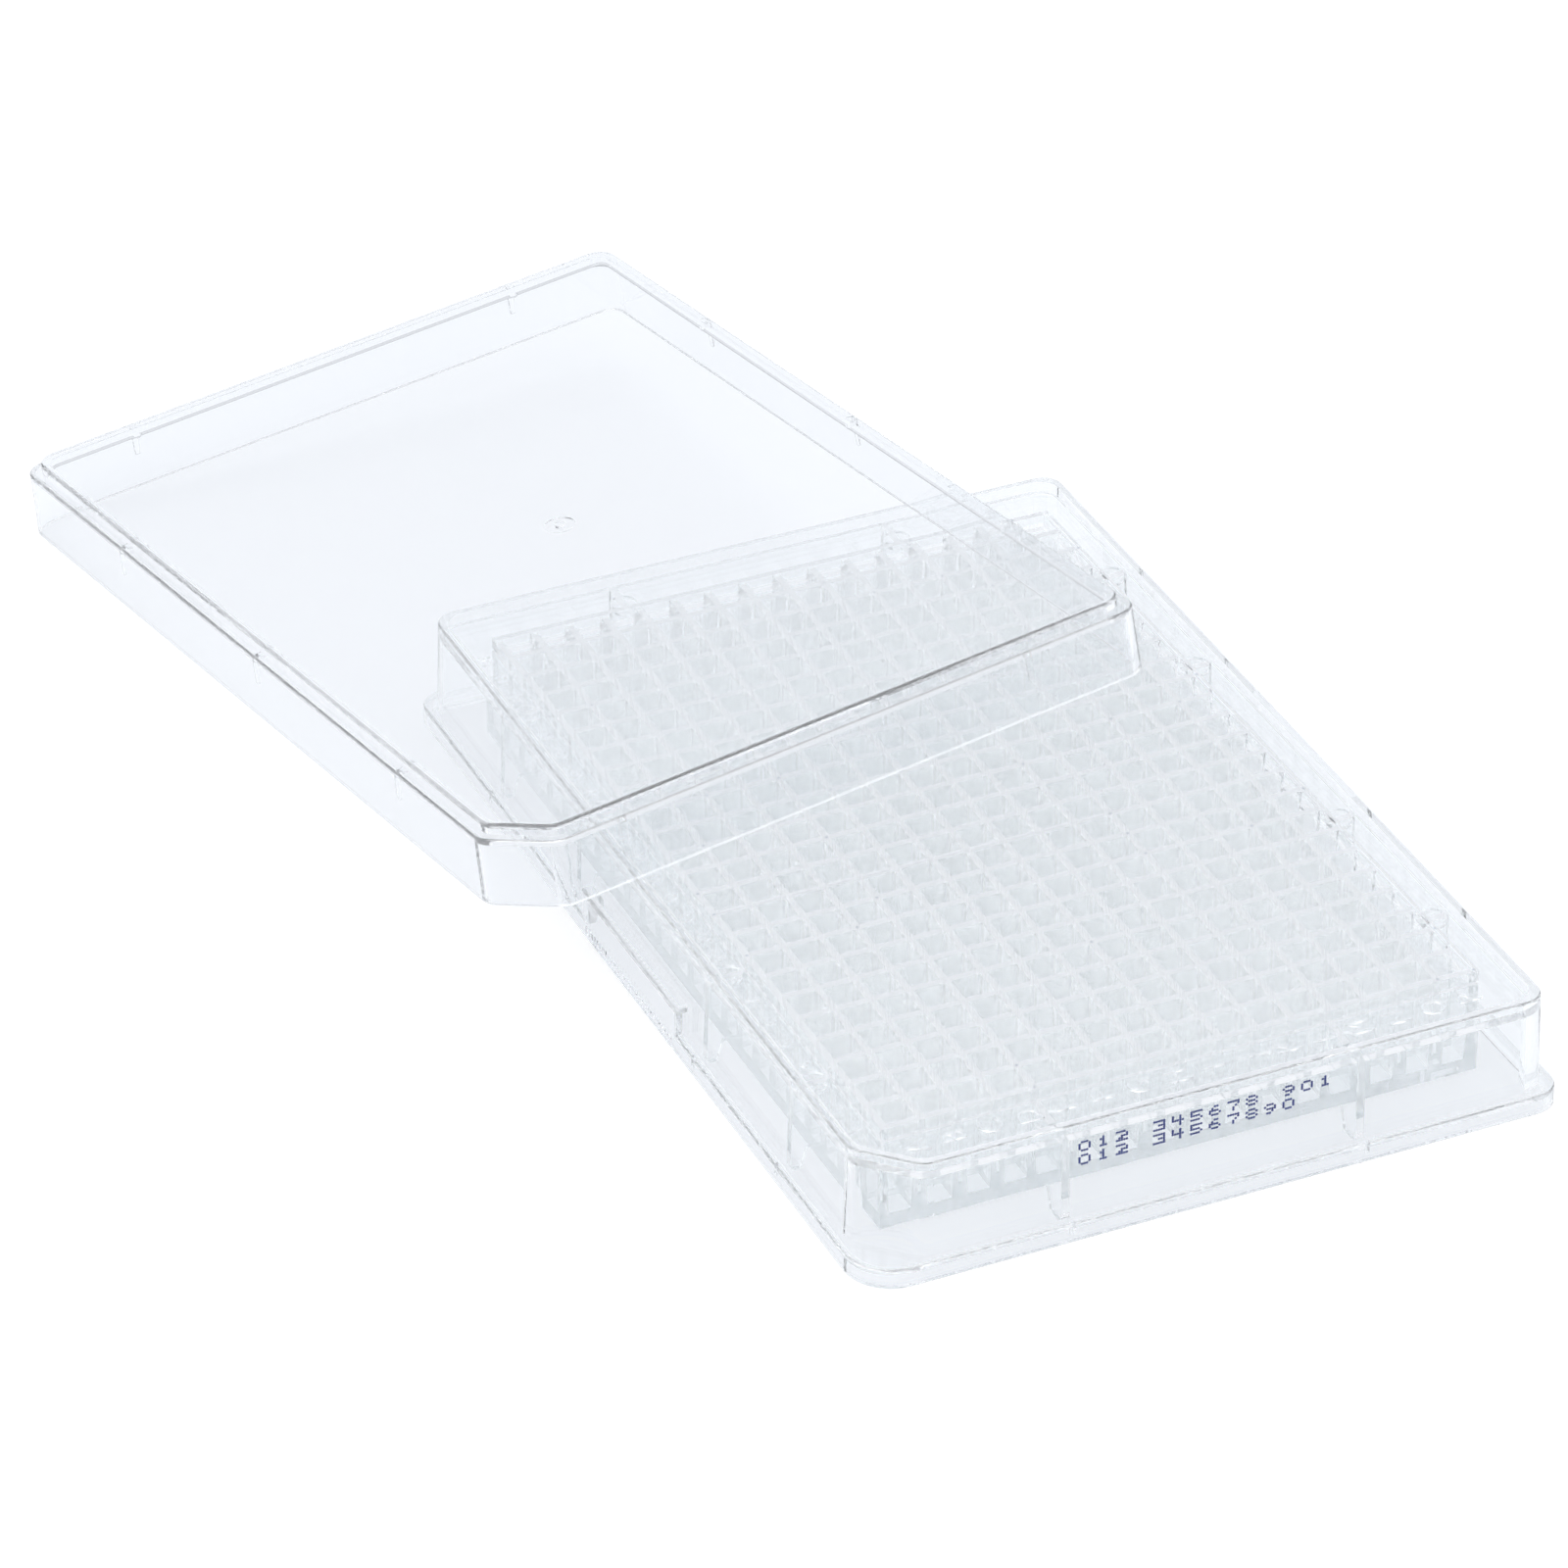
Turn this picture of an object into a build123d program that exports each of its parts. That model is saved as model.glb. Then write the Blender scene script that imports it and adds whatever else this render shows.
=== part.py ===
# A 384-well microplate with its clear lid set down askew, half on the plate and half on the table.
# Millimetres, +Z up. The origin is on the table, under the middle of the plate.
# +X runs along the rows from column 1 to column 24, and row A is on the +Y side.
from build123d import *
import math
import os

# ---- Plate: footprint and skirt ----
plate_length = 127.76
plate_width = 85.48
plate_height = 14.22
flange_height = 2.41
flange_radius = 3.18
flange_a1_radius = 5.6
flange_shoulder = 0.3
skirt_foot_inset = 1.25
skirt_top_inset = 1.7
skirt_wall = 1.0
skirt_radius = 2.6
skirt_a1_cut = 6.0
rim_rounding = 0.35
deck_drop = 1.35
deck_thickness = 1.0

# ---- Plate: wells ----
columns = 24
rows = 16
well_pitch = 4.5
well_mouth = 3.63
well_floor = 2.67
well_depth = 11.56
floor_thickness = 1.27

# ---- Plate: webs under the deck ----
side_web_places = (-40.5, -18.0, 18.0, 40.5)
end_web_places = (-18.0, 18.0)
web_thickness = 1.0
web_leg_top = 3.9
web_leg_share = 0.5
web_leg_taper = 0.9
ejector_pad_radius = 1.6
ejector_pad_depth = 0.8
notch_width = 0.6
notch_depth = 0.45
notch_height = 1.3

# ---- Plate: grip panels at the middle of the long sides ----
grip_length = 27.0
grip_height = 5.9
grip_rounding = 0.5
serration_length = 25.0
serration_pitch = 0.8
serration_depth = 0.25
serration_bottom = 0.45
serration_height = 1.15

# ---- Lid ----
lid_play = 0.4
lid_wall = 0.7
lid_outer_draft = 0.3
lid_inner_draft = 0.1
lid_shoulder_height = 8.49
lid_step_inset = 1.22
lid_step_height = 1.38
lid_step_wall = 1.0
lid_panel = 0.95
lid_rounding = 0.35
lid_edge_rounding = 0.25
vent_nub_radius = 0.6
vent_nub_height = 0.3
side_rib_places = (-36.0, 0.0, 36.0)
end_rib_places = (-27.0, 27.0)
rib_width = 0.9
rib_foot_width = 0.6
rib_length = 3.0
rib_play = 0.03
gate_ring_radius = 1.9
gate_ring_depth = 0.15
gate_stub_radius = 0.65
gate_stub_height = 0.25

# ---- Lid: where it lies ----
lid_foot_x = 124.15
lid_foot_y = 68.55
lid_turn = 6.01
lid_rest_gap = 0.05

# ---- Sizes that follow ----
half_length = plate_length / 2
half_width = plate_width / 2
rim_x = half_length - skirt_top_inset
rim_y = half_width - skirt_top_inset
foot_spread = skirt_top_inset - skirt_foot_inset
well_wall = well_pitch - well_mouth
block_x = columns * well_pitch / 2 + well_wall / 2
block_y = rows * well_pitch / 2 + well_wall / 2
block_base = plate_height - well_depth - floor_thickness
deck_top = plate_height - deck_drop
deck_base = deck_top - deck_thickness
relief_height = flange_height - skirt_wall
lid_mouth = lid_play + lid_inner_draft
lid_shoulder = lid_play + lid_wall
lid_spread = lid_shoulder + lid_outer_draft
lid_step = lid_shoulder - lid_step_inset
lid_step_inside = lid_step - lid_step_wall
lid_ceiling = lid_shoulder_height - lid_panel
lid_height = lid_shoulder_height + lid_step_height


def footprint(inset, radius, a1_radius):
    """The flange's outline: a rectangle with round corners, the widest of them at A1, at -X +Y."""
    x = half_length - inset
    y = half_width - inset
    face = make_face(Polyline((x, -y), (x, y), (-x, y), (-x, -y), close=True))
    a1 = face.vertices().sort_by_distance((-x, y, 0))[0]
    face = fillet(a1, a1_radius)
    square = [corner for corner in face.vertices() if abs(corner.X) + abs(corner.Y) > x + y - 1e-6]
    return fillet(square, radius)


def rim_outline(spread, radius=skirt_radius):
    """Outline outside the rim's by the given spread, with the A1 corner, at -X +Y, cut off."""
    x = rim_x + spread
    y = rim_y + spread
    cut = skirt_a1_cut + (2 - math.sqrt(2)) * spread
    face = make_face(Polyline((x, -y), (x, y), (-x + cut, y), (-x, y - cut), (-x, -y), close=True))
    return fillet(face.vertices(), radius)


def drafted(outline, height, inset):
    """Solid that stands on an outline and draws in by the inset on its way up."""
    return extrude(outline, height, taper=math.degrees(math.atan2(inset, height)))


def top_edges(solid):
    """The highest group of a solid's edges."""
    return solid.edges().group_by(Axis.Z)[-1]


def bottom_edges(solid):
    """The lowest group of a solid's edges."""
    return solid.edges().group_by(Axis.Z)[0]


def skirt_shell():
    """The solid outside of the plate: drafted skirt, flange with a round shoulder, two grip panels."""
    skirt = drafted(rim_outline(foot_spread, skirt_radius + foot_spread), plate_height, foot_spread)
    skirt = fillet(top_edges(skirt), rim_rounding)
    flange = extrude(footprint(0, flange_radius, flange_a1_radius), flange_height)
    flange = fillet(top_edges(flange), flange_shoulder)
    grip = Box(grip_length, plate_width, grip_height, align=(Align.CENTER, Align.CENTER, Align.MIN))
    grip = fillet(top_edges(grip).filter_by(Axis.X), grip_rounding)
    return skirt + flange + grip


def underside_hollow():
    """Space under the deck: inside of the skirt, with the flange and the grip panels hollowed behind."""
    hollow = drafted(rim_outline(foot_spread - skirt_wall), deck_base, foot_spread)
    flange_inside = footprint(skirt_wall, flange_radius - skirt_wall, flange_a1_radius - skirt_wall)
    grip_inside = Box(
        grip_length - 2 * skirt_wall,
        plate_width - 2 * skirt_wall,
        grip_height - skirt_wall,
        align=(Align.CENTER, Align.CENTER, Align.MIN),
    )
    return hollow + extrude(flange_inside, relief_height) + grip_inside


def well_block():
    """Block that carries the wells, from its flat underside to the level of the rim."""
    return Pos(0, 0, block_base) * Box(
        2 * block_x,
        2 * block_y,
        plate_height - block_base,
        align=(Align.CENTER, Align.CENTER, Align.MIN),
    )


def web(gap):
    """One web from the well block (local X = 0) into the skirt, with its ejector pad under the deck."""
    leg_top = gap - gap * web_leg_share
    leg_foot = leg_top + web_leg_taper
    outline = Polyline(
        (-well_wall / 2, deck_base + deck_thickness / 2),
        (gap + skirt_wall / 2, deck_base + deck_thickness / 2),
        (gap + skirt_wall / 2, relief_height),
        (leg_foot, relief_height),
        (leg_top, web_leg_top),
        (-well_wall / 2, web_leg_top),
        close=True,
    )
    sheet = extrude(Plane.XZ * make_face(outline), web_thickness / 2, both=True)
    pad = Pos(gap / 2, 0, deck_base + deck_thickness / 2) * Cylinder(
        ejector_pad_radius,
        deck_thickness / 2 + ejector_pad_depth,
        align=(Align.CENTER, Align.CENTER, Align.MAX),
    )
    return sheet + pad


def web_frames():
    """Where each web starts on the block and which way it runs, with the gap that it crosses."""
    side_gap = rim_y - skirt_wall - block_y
    end_gap = rim_x - skirt_wall - block_x
    frames = []
    for x in side_web_places:
        frames.append((Pos(x, block_y, 0) * Rot(0, 0, 90), side_gap))
        frames.append((Pos(x, -block_y, 0) * Rot(0, 0, -90), side_gap))
    for y in end_web_places:
        frames.append((Pos(block_x, y, 0), end_gap))
        frames.append((Pos(-block_x, y, 0) * Rot(0, 0, 180), end_gap))
    return frames


def notches():
    """Small notches in the flange's shoulder, one outside each web."""
    cutter = Box(2 * notch_depth, notch_width, 2 * notch_height)
    places = []
    for x in side_web_places:
        places.append(Pos(x, half_width, flange_height) * Rot(0, 0, 90))
        places.append(Pos(x, -half_width, flange_height) * Rot(0, 0, 90))
    for y in end_web_places:
        places.append(Pos(half_length, y, flange_height))
        places.append(Pos(-half_length, y, flange_height))
    return [place * cutter for place in places]


def serrations():
    """Upright grooves along the foot of both grip panels."""
    count = math.floor(serration_length / serration_pitch)
    groove = Rot(0, 0, 45) * Box(
        serration_depth * math.sqrt(2),
        serration_depth * math.sqrt(2),
        serration_height,
        align=(Align.CENTER, Align.CENTER, Align.MIN),
    )
    row = GridLocations(serration_pitch, plate_width, count, 2)
    return [Pos(0, 0, serration_bottom) * place * groove for place in row]


def wells():
    """One tapered square pocket for each well, open at the top."""
    lean = (well_mouth - well_floor) / 2 / well_depth
    height = well_depth + floor_thickness
    widest = well_floor + 2 * lean * height
    step_in = lean * height
    pocket = Wedge(
        widest,
        height,
        widest,
        step_in,
        step_in,
        widest - step_in,
        widest - step_in,
        rotation=(-90, 0, 0),
        align=(Align.CENTER, Align.MAX, Align.CENTER),
    )
    pocket = Pos(0, 0, plate_height - well_depth) * pocket
    return [place * pocket for place in GridLocations(well_pitch, well_pitch, columns, rows)]


def plate():
    """The plate, moulded in one piece."""
    recess = extrude(Pos(0, 0, deck_top) * rim_outline(-skirt_wall), 2 * deck_drop)
    body = skirt_shell() - underside_hollow() - recess
    body += well_block()
    body += [frame * web(gap) for frame, gap in web_frames()]
    body -= notches() + serrations()
    return body - wells()


def lid_outside():
    """Outside of the lid: drafted skirt with rounded edges and the raised step above it."""
    mouth = rim_outline(lid_spread, skirt_radius + lid_outer_draft)
    skirt = drafted(mouth, lid_shoulder_height, lid_outer_draft)
    skirt = fillet(top_edges(skirt), lid_rounding)
    skirt = fillet(bottom_edges(skirt), lid_edge_rounding)
    step = extrude(Pos(0, 0, lid_ceiling) * rim_outline(lid_step), lid_height - lid_ceiling)
    step = fillet(top_edges(step), lid_rounding)
    return skirt + step


def lid_inside():
    """Inside of the lid: the skirt's hollow, and the hollow of the raised step above it."""
    radius = skirt_radius - lid_wall
    mouth = rim_outline(lid_mouth, radius + lid_inner_draft)
    skirt = drafted(mouth, lid_ceiling, lid_inner_draft)
    step = extrude(rim_outline(lid_step_inside, radius), lid_height - lid_panel)
    return skirt + step


def centring_rib():
    """Rib inside the lid's skirt and the vent nub at its head; local X = 0 is the skirt's inner face."""
    root = lid_wall / 2
    reach = lid_play - rib_play
    head = Pos((root - reach) / 2, 0, lid_panel / 2) * Rectangle(root + reach, rib_width)
    foot = Pos((root - reach / 2) / 2, 0, -rib_length) * Rectangle(root + reach / 2, rib_foot_width)
    rib = loft([foot, head], ruled=True)
    shoulder_middle = (lid_step_inside - lid_play) / 2
    nub = Pos(shoulder_middle, 0, lid_panel / 2) * Cylinder(
        vent_nub_radius,
        lid_panel / 2 + vent_nub_height,
        align=(Align.CENTER, Align.CENTER, Align.MAX),
    )
    return rib + nub


def centring_ribs():
    """Three ribs inside each long side of the lid and two inside each end."""
    side = rim_y + lid_play
    end = rim_x + lid_play
    places = []
    for x in side_rib_places:
        places.append(Pos(x, side, lid_ceiling) * Rot(0, 0, 90))
        places.append(Pos(x, -side, lid_ceiling) * Rot(0, 0, -90))
    for y in end_rib_places:
        places.append(Pos(end, y, lid_ceiling))
        places.append(Pos(-end, y, lid_ceiling) * Rot(0, 0, 180))
    return [place * centring_rib() for place in places]


def lid():
    """The lid on its own, mouth down with its rim at Z = 0."""
    body = lid_outside() - lid_inside()
    body += centring_ribs()
    gate_floor = Pos(0, 0, lid_height - gate_ring_depth)
    body -= gate_floor * Cylinder(
        gate_ring_radius, 2 * gate_ring_depth, align=(Align.CENTER, Align.CENTER, Align.MIN)
    )
    body += gate_floor * Cylinder(
        gate_stub_radius, gate_stub_height, align=(Align.CENTER, Align.CENTER, Align.MIN)
    )
    return body


def resting_place():
    """Where the lid comes to lie: one corner on the table, one end and one side across the rim.

    The contacts depend on the tilt and the tilt on the contacts, so both are settled in a few rounds.
    """
    heading = Vector(math.cos(math.radians(lid_turn)), math.sin(math.radians(lid_turn)), 0)
    table_touch = Vector(lid_foot_x, lid_foot_y, lid_edge_rounding)
    corner_radius = skirt_radius + lid_outer_draft
    corner_x = rim_x + lid_spread - corner_radius
    corner_y = rim_y + lid_spread - corner_radius
    end_wall = rim_x + (lid_mouth + lid_spread - lid_edge_rounding) / 2
    side_wall = rim_y + (lid_mouth + lid_spread - lid_edge_rounding) / 2
    rim_level = plate_height - rim_rounding
    above_rim = rim_rounding + lid_rest_gap
    normal = Vector(0.1, 0.1, 1).normalized()
    for _ in range(20):
        along = Vector(heading.X, heading.Y, -heading.dot(normal) / normal.Z).normalized()
        across = normal.cross(along)
        fall = Vector(-along.Z, -across.Z, 0).normalized() * (corner_radius - lid_edge_rounding)
        origin = table_touch - along * (corner_x + fall.X) - across * (corner_y + fall.Y)
        origin -= normal * lid_edge_rounding
        end_run = (rim_y - rim_rounding - origin.Y + along.Y * end_wall) / across.Y
        end_touch = origin - along * end_wall + across * end_run
        end_touch = Vector(end_touch.X, rim_y - rim_rounding, rim_level) + normal * above_rim
        side_run = (rim_x - rim_rounding - origin.X + across.X * side_wall) / along.X
        side_touch = origin + along * side_run - across * side_wall
        side_touch = Vector(rim_x - rim_rounding, side_touch.Y, rim_level) + normal * above_rim
        low = table_touch - normal * lid_edge_rounding
        normal = (side_touch - low).cross(end_touch - low).normalized()
        if normal.Z < 0:
            normal = -normal
    return Plane(origin=origin, x_dir=along, z_dir=normal)


def build():
    """Write each piece to its own STEP file."""
    os.makedirs("parts", exist_ok=True)
    export_step(plate(), "parts/plate.step")
    export_step(resting_place().location * lid(), "parts/lid.step")


build()
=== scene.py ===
import math
import bmesh
import bpy
from mathutils import Matrix, Vector
from mathutils.bvhtree import BVHTree


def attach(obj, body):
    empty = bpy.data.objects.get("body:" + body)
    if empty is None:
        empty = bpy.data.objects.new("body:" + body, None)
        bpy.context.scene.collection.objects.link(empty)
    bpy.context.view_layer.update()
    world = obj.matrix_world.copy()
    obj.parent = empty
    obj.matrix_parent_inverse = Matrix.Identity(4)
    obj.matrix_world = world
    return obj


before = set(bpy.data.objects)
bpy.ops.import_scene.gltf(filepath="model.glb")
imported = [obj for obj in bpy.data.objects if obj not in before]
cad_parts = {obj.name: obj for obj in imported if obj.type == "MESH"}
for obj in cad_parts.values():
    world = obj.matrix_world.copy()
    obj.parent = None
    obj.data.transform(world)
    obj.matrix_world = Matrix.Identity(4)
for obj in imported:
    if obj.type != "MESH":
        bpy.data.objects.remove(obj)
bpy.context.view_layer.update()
mm = 0.001
print("frame loaded")


class Sock:
    # a shader socket that adds its own Math nodes when it is used in an expression
    def __init__(self, maker, socket):
        self.maker = maker
        self.socket = socket

    def mathNode(self, operation, first, second):
        return self.maker.add("ShaderNodeMath", {"operation": operation}, [first, second])

    def __add__(self, other):
        return self.mathNode("ADD", self, other)

    def __radd__(self, other):
        return self.mathNode("ADD", other, self)

    def __sub__(self, other):
        return self.mathNode("SUBTRACT", self, other)

    def __rsub__(self, other):
        return self.mathNode("SUBTRACT", other, self)

    def __mul__(self, other):
        return self.mathNode("MULTIPLY", self, other)

    def __rmul__(self, other):
        return self.mathNode("MULTIPLY", other, self)

    def __gt__(self, other):
        return self.mathNode("GREATER_THAN", self, other)

    def __lt__(self, other):
        return self.mathNode("LESS_THAN", self, other)

    def __abs__(self):
        return self.mathNode("ABSOLUTE", self, 0.0)


class Maker:
    # makes the nodes of one material or world
    def __init__(self, block):
        block.use_nodes = True
        self.tree = block.node_tree
        self.tree.nodes.clear()

    def add(self, kind, settings=None, values=None, out=0):
        node = self.tree.nodes.new(kind)
        for name, setting in (settings or {}).items():
            if name == "ramp":
                # the first two stops are the ramp's ends, and the others go between them
                ramp = node.color_ramp
                for place, colour in setting[2:]:
                    ramp.elements.new(place).color = colour
                for element, (place, colour) in zip((ramp.elements[0], ramp.elements[-1]), setting[:2]):
                    element.position = place
                    element.color = colour
            else:
                setattr(node, name, setting)
        pairs = values.items() if isinstance(values, dict) else enumerate(values or [])
        for name, value in pairs:
            if isinstance(value, Sock):
                self.tree.links.new(value.socket, node.inputs[name])
            elif value is not None:
                node.inputs[name].default_value = value
        return Sock(self, node.outputs[out]) if node.outputs else node


def deg(angle):
    return math.radians(angle)


# lengths are in millimetres, except clip, scoreDepth, floorSize and the lamp, which are in metres
cameraSet = {
    "azimuth": 245.704,
    "elevation": 32.991,
    "roll": 0.161,
    "distance": 896.19,
    "aim": (22.262, 13.236, 7.0),
    "lens": 176.532,
    "sensor": 36.0,
    "clip": (0.05, 20.0),
}


def makeCamera():
    c = cameraSet
    a, e = deg(c["azimuth"]), deg(c["elevation"])
    back = Vector((math.sin(a) * math.cos(e), -math.cos(a) * math.cos(e), math.sin(e)))
    right = Vector((0, 0, 1)).cross(back).normalized()
    up = back.cross(right)
    turn = Matrix.Rotation(deg(-c["roll"]), 3, back)
    right, up = turn @ right, turn @ up
    camera = bpy.data.objects.new("camera", bpy.data.cameras.new("camera"))
    camera.data.lens = c["lens"]
    camera.data.sensor_width = c["sensor"]
    camera.data.clip_start, camera.data.clip_end = c["clip"]
    place = Vector(c["aim"]) * mm + back * c["distance"] * mm
    camera.matrix_world = Matrix.Translation(place) @ Matrix((right, up, back)).transposed().to_4x4()
    bpy.context.collection.objects.link(camera)
    bpy.context.scene.camera = camera


makeCamera()
print("camera set")


plasticSet = {
    "ior": 1.59,
    "plateTint": (0.988, 0.9955, 0.998, 1),
    "lidTint": (0.980, 0.986, 0.992, 1),
    "plateShadow": (0.975, 0.98, 0.985, 1),
    "lidShadow": (0.975, 0.98, 0.985, 1),
    "polish": 0.0,
    "clearness": 0.992,
}


def clearPlastic(name, tint, shadowTint, finish=None):
    # shadow rays pass straight through, tinted, and all others meet real plastic
    material = bpy.data.materials.new(name)
    m = Maker(material)
    values = {
        "Base Color": tint,
        "Roughness": plasticSet["polish"],
        "IOR": plasticSet["ior"],
        "Transmission Weight": plasticSet["clearness"],
    }
    if finish:
        values.update(finish(m))
    body = m.add("ShaderNodeBsdfPrincipled", None, values)
    through = m.add("ShaderNodeBsdfTransparent", None, {"Color": shadowTint})
    shadowRay = m.add("ShaderNodeLightPath", out=1)
    both = m.add("ShaderNodeMixShader", None, [shadowRay, body, through])
    m.add("ShaderNodeOutputMaterial", None, {"Surface": both})
    return material


wellSet = {
    "halfX": 54.2,
    "halfY": 36.2,
    "scoredX": 53.0,
    "scoredY": 35.0,
    "floor": 2.75,
    "top": 14.1,
    "pitch": 4.5,
    "fineScale": 20000.0,
    "streakScale": 2400.0,
    "streakShare": 2.5,
    "scoreDepth": 0.00001,
    "stretch": 0.04,
    "scoredTint": (0.982, 0.989, 0.990, 1),
    "speckTint": (0.4, 0.44, 0.5, 1),
    "speckShare": 0.9,
    "speckSize": 0.2,
}


def wellScoring(m):
    # the cutter that made the mould left fine upright score lines on the walls of the wells,
    # and here and there a small void stays in the plastic where the walls cross
    w = wellSet
    place = m.add("ShaderNodeTexCoord", out=3)
    x, y, z = [m.add("ShaderNodeSeparateXYZ", None, [place], out=i) for i in range(3)]
    overWells = (abs(x) < w["halfX"] * mm) * (abs(y) < w["halfY"] * mm)
    walls = (abs(x) < w["scoredX"] * mm) * (abs(y) < w["scoredY"] * mm)
    walls = walls * (z > w["floor"] * mm) * (z < w["top"] * mm)
    drawn = m.add("ShaderNodeCombineXYZ", None, [x, y, z * w["stretch"]])
    fine = m.add("ShaderNodeTexNoise", None, {"Vector": drawn, "Scale": w["fineScale"], "Detail": 0.0})
    broad = m.add("ShaderNodeTexNoise", None, {"Vector": drawn, "Scale": w["streakScale"], "Detail": 0.0})
    relief = m.add("ShaderNodeBump", None, {
        "Strength": 1.0,
        "Distance": w["scoreDepth"],
        "Height": (fine + broad * w["streakShare"]) * walls,
    })
    tint = m.add("ShaderNodeMix", {"data_type": "RGBA"},
                 {0: walls, 6: plasticSet["plateTint"], 7: w["scoredTint"]}, out=2)
    step = 1 / (w["pitch"] * mm)
    acrossX, acrossY = [m.add("ShaderNodeMath", {"operation": "ROUND"}, [part * step]) for part in (x, y)]
    offX, offY = x * step - acrossX, y * step - acrossY
    reach = m.add("ShaderNodeMath", {"operation": "SQRT"}, [offX * offX + offY * offY])
    cell = m.add("ShaderNodeCombineXYZ", None, [acrossX, acrossY, 0.0])
    chance = m.add("ShaderNodeTexWhiteNoise", {"noise_dimensions": "3D"}, {"Vector": cell})
    speck = (chance > w["speckShare"]) * (reach < w["speckSize"] / w["pitch"])
    speck = speck * overWells * (z > w["top"] * mm)
    colour = m.add("ShaderNodeMix", {"data_type": "RGBA"}, {0: speck, 6: tint, 7: w["speckTint"]}, out=2)
    return {"Base Color": colour, "Normal": relief}


lidSet = {
    "turn": 6.01,
    # edgeGlow is the strength of the glow painted on the lid's lower edge
    "edgeGlow": 0.14,
    "edgeBand": 0.12,
    "endBand": 1.6,
}


def paintedEdgeGlow(m):
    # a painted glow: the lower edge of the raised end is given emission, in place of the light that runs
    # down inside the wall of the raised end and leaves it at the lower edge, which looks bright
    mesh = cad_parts["lid"].data
    up = max(mesh.polygons, key=lambda face: face.area).normal.copy()
    if up.z < 0:
        up.negate()
    along = Vector((math.cos(deg(lidSet["turn"])), math.sin(deg(lidSet["turn"])), 0))
    along.z = -along.dot(up) / up.z
    along.normalize()
    lowest = min(up.dot(vert.co) for vert in mesh.vertices)
    nearest = min(along.dot(vert.co) for vert in mesh.vertices)
    place = m.add("ShaderNodeTexCoord", out=3)
    height = m.add("ShaderNodeVectorMath", {"operation": "DOT_PRODUCT"}, [place, up], out=1)
    reach = m.add("ShaderNodeVectorMath", {"operation": "DOT_PRODUCT"}, [place, along], out=1)
    # mask of the lower edge band at the raised end, where the painted glow goes
    edge = (height < lowest + lidSet["edgeBand"] * mm) * (reach < nearest + lidSet["endBand"] * mm)
    glow = m.add("ShaderNodeMix", {"data_type": "RGBA"}, {0: edge, 6: (0, 0, 0, 1), 7: (1, 1, 1, 1)}, out=2)
    return {"Emission Color": glow, "Emission Strength": lidSet["edgeGlow"]}


plateClear = clearPlastic("plateClear", plasticSet["plateTint"], plasticSet["plateShadow"], wellScoring)
lidClear = clearPlastic("lidClear", plasticSet["lidTint"], plasticSet["lidShadow"], paintedEdgeGlow)
markClear = clearPlastic("markClear", plasticSet["lidTint"], plasticSet["lidShadow"])


blueSet = {
    "blotScale": 2500.0,
    "blotDetail": 2.0,
    "blots": [
        (0.3, (0.018, 0.026, 0.16, 1)),
        (0.7, (0.05, 0.075, 0.29, 1)),
    ],
    "roughness": 0.45,
    "ior": 1.45,
}


def makeInkMaterial():
    # ink that is a little uneven
    b = blueSet
    material = bpy.data.materials.new("blueInk")
    m = Maker(material)
    place = m.add("ShaderNodeTexCoord", out=3)
    blot = m.add("ShaderNodeTexNoise", None,
                 {"Vector": place, "Scale": b["blotScale"], "Detail": b["blotDetail"]})
    colour = m.add("ShaderNodeValToRGB", {"ramp": b["blots"]}, [blot])
    body = m.add("ShaderNodeBsdfPrincipled", None,
                 {"Base Color": colour, "Roughness": b["roughness"], "IOR": b["ior"]})
    m.add("ShaderNodeOutputMaterial", None, {"Surface": body})
    return material


blueInk = makeInkMaterial()
for node, material in (("plate", plateClear), ("lid", lidClear)):
    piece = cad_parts[node]
    piece.data.materials.clear()
    piece.data.materials.append(material)
print("plastic made")


letterSet = {
    "deck": 12.87,
    "gap": 0.012,
    "thickness": 0.2,
    "rowHeight": 3.0,
    "rowX": -57.0,
    "rowWidth": 0.86,
    "columnHeight": 1.6,
    "columnY": 38.35,
    "columnWidth": 0.9,
    "pitch": 4.5,
    "curveSteps": 3,
    "capital": 0.729,
    "weld": 1e-4,
    "rows": "ABCDEFGHIJKLMNOP",
    "columns": 24,
}


def textShell(words, height, width):
    # raised characters as closed shells, one unit thick at first, then scaled to stand on z = 0
    c = letterSet
    curve = bpy.data.curves.new(words, "FONT")
    curve.body = words
    curve.align_x = "CENTER"
    curve.resolution_u = c["curveSteps"]
    curve.extrude = 0.5
    thing = bpy.data.objects.new(words, curve)
    bpy.context.collection.objects.link(thing)
    mesh = bpy.data.meshes.new_from_object(thing.evaluated_get(bpy.context.evaluated_depsgraph_get()))
    bpy.data.objects.remove(thing)
    shell = bmesh.new()
    shell.from_mesh(mesh)
    bpy.data.meshes.remove(mesh)
    bmesh.ops.remove_doubles(shell, verts=shell.verts, dist=c["weld"])
    bmesh.ops.recalc_face_normals(shell, faces=shell.faces)
    tall = c["capital"]  # how tall the font's capitals are
    for vert in shell.verts:
        x, y, z = vert.co
        vert.co = (
            x / tall * height * width * mm,
            (y / tall - 0.5) * height * mm,
            (z + 0.5) * c["thickness"] * mm,
        )
    return shell


def markDeck(name, marks, height, width):
    # joins the characters of one set into one piece on the plate's deck
    c = letterSet
    whole = bmesh.new()
    spare = bpy.data.meshes.new("spare")
    for words, x, y in marks:
        shell = textShell(words, height, width)
        bmesh.ops.translate(shell, verts=shell.verts, vec=(x * mm, y * mm, (c["deck"] + c["gap"]) * mm))
        shell.to_mesh(spare)
        shell.free()
        whole.from_mesh(spare)
    mesh = bpy.data.meshes.new(name)
    whole.to_mesh(mesh)
    whole.free()
    mesh.materials.append(markClear)
    piece = bpy.data.objects.new(name, mesh)
    bpy.context.collection.objects.link(piece)
    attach(piece, "root")


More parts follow.
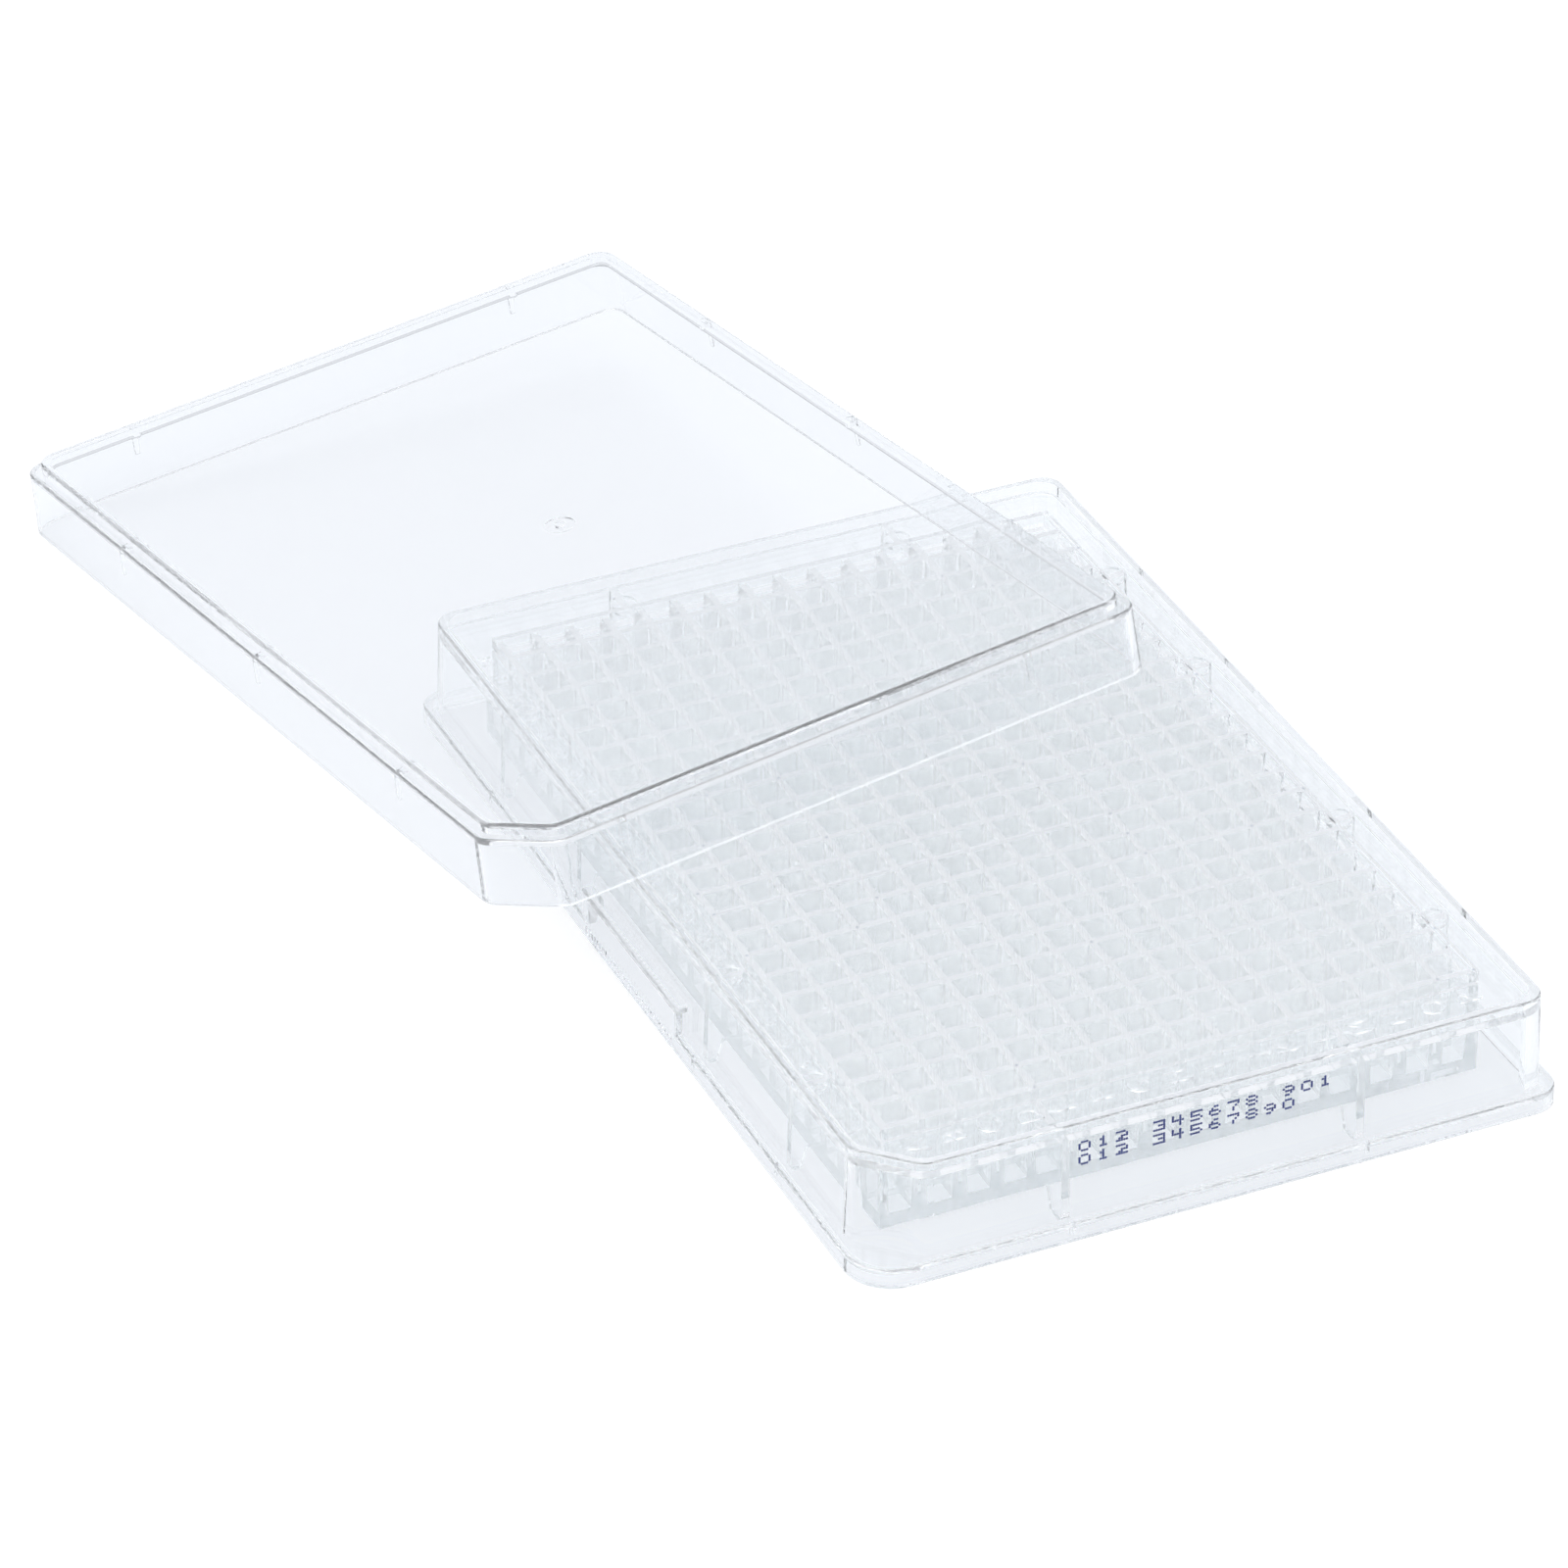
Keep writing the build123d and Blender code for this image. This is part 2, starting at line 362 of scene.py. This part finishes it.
def makeLetters():
    c = letterSet
    middleRow = (len(c["rows"]) - 1) / 2
    middleColumn = (c["columns"] - 1) / 2
    rowMarks = [(row, c["rowX"], (middleRow - i) * c["pitch"]) for i, row in enumerate(c["rows"])]
    columnMarks = [(str(i + 1), (i - middleColumn) * c["pitch"], c["columnY"]) for i in range(c["columns"])]
    markDeck("rowLetters", rowMarks, c["rowHeight"], c["rowWidth"])
    markDeck("columnNumbers", columnMarks, c["columnHeight"], c["columnWidth"])


makeLetters()
print("letters and numbers raised on the deck")


inkSet = {
    "lines": ("012 345678 901", "012 34567890"),
    "startY": 16.6,
    "topZ": 11.75,
    "pitch": 2.25,
    "lineDrop": 1.74,
    "dotAcross": 0.3,
    "dotDown": 0.27,
    "dotRadius": 0.155,
    "dotHeight": 0.03,
    "dotLift": 0.6,
    "sides": 8,
    "rayStart": -80.0,
}
# each digit is five dots across and five down, one line of dots a group
digitDots = {
    "0": "01110 10001 10001 10001 01110",
    "1": "00100 01100 00100 00100 01110",
    "2": "11110 00001 00111 01100 11111",
    "3": "11111 00001 00111 00001 11111",
    "4": "10010 10010 11111 00010 00010",
    "5": "11111 10000 11110 00001 11110",
    "6": "00110 01000 11110 10001 01110",
    "7": "11111 00001 00010 00100 00100",
    "8": "01110 10001 01110 10001 01110",
    "9": "01110 10001 01111 00010 01100",
}


def inkPlaces():
    # where each dot lands on the end wall, found by casting a ray at the plate
    c = inkSet
    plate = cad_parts["plate"]
    tree = BVHTree.FromObject(plate, bpy.context.evaluated_depsgraph_get())
    places = []
    for line, words in enumerate(c["lines"]):
        for place, digit in enumerate(words):
            for down, dots in enumerate(digitDots.get(digit, "").split()):
                for across, dot in enumerate(dots):
                    if dot == "1":
                        y = c["startY"] - place * c["pitch"] - across * c["dotAcross"]
                        z = c["topZ"] - line * c["lineDrop"] - down * c["dotDown"]
                        start = Vector((c["rayStart"], y, z)) * mm
                        places.append(tree.ray_cast(start, Vector((1, 0, 0)))[0])
    return places


def makeInk():
    # one small disc on each point, made plain and joined to one piece
    c = inkSet
    tree = bpy.data.node_groups.new("inkDots", "GeometryNodeTree")
    tree.interface.new_socket("Geometry", in_out="OUTPUT", socket_type="NodeSocketGeometry")
    tree.interface.new_socket("Points", in_out="INPUT", socket_type="NodeSocketGeometry")
    inputs = {"Radius": c["dotRadius"] * mm, "Height": c["dotHeight"] * mm, "Tilt": deg(90)}
    sizes = {}
    for name, value in inputs.items():
        socket = tree.interface.new_socket(name, in_out="INPUT", socket_type="NodeSocketFloat")
        sizes[socket.identifier] = value
    add, link = tree.nodes.new, tree.links.new
    start = add("NodeGroupInput")
    end = add("NodeGroupOutput")
    disc = add("GeometryNodeMeshCylinder")
    disc.fill_type = "NGON"
    disc.inputs["Vertices"].default_value = c["sides"]
    turn = add("ShaderNodeCombineXYZ")
    spread = add("GeometryNodeInstanceOnPoints")
    real = add("GeometryNodeRealizeInstances")
    paint = add("GeometryNodeSetMaterial")
    paint.inputs["Material"].default_value = blueInk
    link(start.outputs["Radius"], disc.inputs["Radius"])
    link(start.outputs["Height"], disc.inputs["Depth"])
    link(start.outputs["Tilt"], turn.inputs["Y"])
    link(start.outputs["Points"], spread.inputs["Points"])
    link(disc.outputs["Mesh"], spread.inputs["Instance"])
    link(turn.outputs["Vector"], spread.inputs["Rotation"])
    link(spread.outputs["Instances"], real.inputs["Geometry"])
    link(real.outputs["Geometry"], paint.inputs["Geometry"])
    link(paint.outputs["Geometry"], end.inputs["Geometry"])
    lift = Vector((c["dotHeight"] * c["dotLift"] * mm, 0, 0))
    points = bpy.data.meshes.new("inkPoints")
    points.from_pydata([place - lift for place in inkPlaces()], [], [])
    seed = bpy.data.objects.new("inkPoints", points)
    bpy.context.collection.objects.link(seed)
    modifier = seed.modifiers.new("dots", "NODES")
    modifier.node_group = tree
    for identifier, value in sizes.items():
        modifier[identifier] = value
    mesh = bpy.data.meshes.new_from_object(seed.evaluated_get(bpy.context.evaluated_depsgraph_get()))
    bpy.data.objects.remove(seed)
    mesh.name = "inkDots"
    ink = bpy.data.objects.new("inkDots", mesh)
    bpy.context.collection.objects.link(ink)
    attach(ink, "root")


makeInk()
print("numbers printed on the end wall")


stageSet = {
    "floorSize": 6.0,
    "floorDrop": 0.02,
    "floorColour": (0.72, 0.72, 0.72, 1),
    "directGlow": 0.5,
    "throughGlow": (0.925, 0.957, 1.01, 1),
    "throughPower": 1.55,
    "throughShare": 0.42,
    "softSide": [
        (0.0, (0.88, 0.90, 0.93, 1)),
        (1.0, (1.15, 1.16, 1.18, 1)),
        (0.05, (0.72, 0.74, 0.77, 1)),
        (0.28, (0.68, 0.70, 0.73, 1)),
        (0.42, (0.86, 0.88, 0.92, 1)),
        (0.75, (0.95, 0.97, 1.0, 1)),
    ],
    "darkSide": [
        (0.0, (0.88, 0.90, 0.93, 1)),
        (1.0, (1.15, 1.16, 1.18, 1)),
        (0.05, (0.22, 0.23, 0.25, 1)),
        (0.28, (0.18, 0.19, 0.21, 1)),
        (0.40, (0.88, 0.90, 0.94, 1)),
        (0.75, (0.95, 0.97, 1.0, 1)),
    ],
    "sideShare": 0.35,
    "sideBlend": 0.75,
    "skyStrength": 1.0,
    "lampPlace": (0.15, 0.25, 1.0),
    "lampAim": (0.03, 0.01, 0),
    "lampSize": (0.9, 0.6),
    "lampPower": 1.2,
    "bounces": 64,
    "clearBounces": 8,
}


def makeFloor():
    # a pale table that is a little brighter when it is seen through the plastic
    s = stageSet["floorSize"] / 2
    z = -stageSet["floorDrop"] * mm
    mesh = bpy.data.meshes.new("floor")
    mesh.from_pydata([(-s, -s, z), (s, -s, z), (s, s, z), (-s, s, z)], [], [(0, 1, 2, 3)])
    floor = bpy.data.objects.new("floor", mesh)
    bpy.context.collection.objects.link(floor)
    material = bpy.data.materials.new("paleFloor")
    m = Maker(material)
    cameraRay = m.add("ShaderNodeLightPath", out=0)
    glossyRay = m.add("ShaderNodeLightPath", out=3)
    throughRay = m.add("ShaderNodeLightPath", out=6)
    matt = m.add("ShaderNodeBsdfDiffuse", None, {"Color": stageSet["floorColour"]})
    direct = m.add("ShaderNodeEmission", None, {"Strength": cameraRay * stageSet["directGlow"]})
    lit = m.add("ShaderNodeAddShader", None, [matt, direct])
    seen = m.add("ShaderNodeEmission", None,
                 {"Color": stageSet["throughGlow"], "Strength": stageSet["throughPower"]})
    byPlastic = m.add("ShaderNodeMath", {"operation": "MAXIMUM"}, [glossyRay, throughRay])
    both = m.add("ShaderNodeMixShader", None, [byPlastic * stageSet["throughShare"], lit, seen])
    m.add("ShaderNodeOutputMaterial", None, {"Surface": both})
    mesh.materials.append(material)


def makeLamp():
    lamp = bpy.data.lights.new("overhead", "AREA")
    lamp.shape = "RECTANGLE"
    lamp.size, lamp.size_y = stageSet["lampSize"]
    lamp.energy = stageSet["lampPower"]
    thing = bpy.data.objects.new("overhead", lamp)
    thing.location = stageSet["lampPlace"]
    away = Vector(stageSet["lampPlace"]) - Vector(stageSet["lampAim"])
    thing.rotation_euler = away.to_track_quat("Z", "Y").to_euler()
    bpy.context.collection.objects.link(thing)


def makeWorld():
    # a soft sky with a darker side towards -Y, and white behind it all for the camera
    world = bpy.data.worlds.new("studio")
    bpy.context.scene.world = world
    m = Maker(world)
    lookUp = m.add("ShaderNodeTexCoord", out=0)
    height = m.add("ShaderNodeSeparateXYZ", None, [lookUp], out=2)
    soft = m.add("ShaderNodeValToRGB", {"ramp": stageSet["softSide"]}, [height])
    dark = m.add("ShaderNodeValToRGB", {"ramp": stageSet["darkSide"]}, [height])
    across = m.add("ShaderNodeSeparateXYZ", None, [lookUp], out=1)
    share = stageSet["sideShare"] - across * stageSet["sideBlend"]
    sky = m.add("ShaderNodeMix", {"data_type": "RGBA"}, {0: share, 6: soft, 7: dark}, out=2)
    cameraRay = m.add("ShaderNodeLightPath", out=0)
    white = m.add("ShaderNodeMix", {"data_type": "RGBA"}, {0: cameraRay, 6: sky, 7: (1, 1, 1, 1)}, out=2)
    back = m.add("ShaderNodeBackground", None, {"Color": white, "Strength": stageSet["skyStrength"]})
    m.add("ShaderNodeOutputWorld", None, {"Surface": back})


makeFloor()
makeWorld()
makeLamp()
print("stage set")

# light inside clear plastic is reflected many times before it gets out
cycles = bpy.context.scene.cycles
cycles.max_bounces = stageSet["bounces"]
cycles.glossy_bounces = stageSet["bounces"]
cycles.transmission_bounces = stageSet["bounces"]
cycles.transparent_max_bounces = stageSet["clearBounces"]
bpy.context.scene.view_settings.view_transform = "Standard"
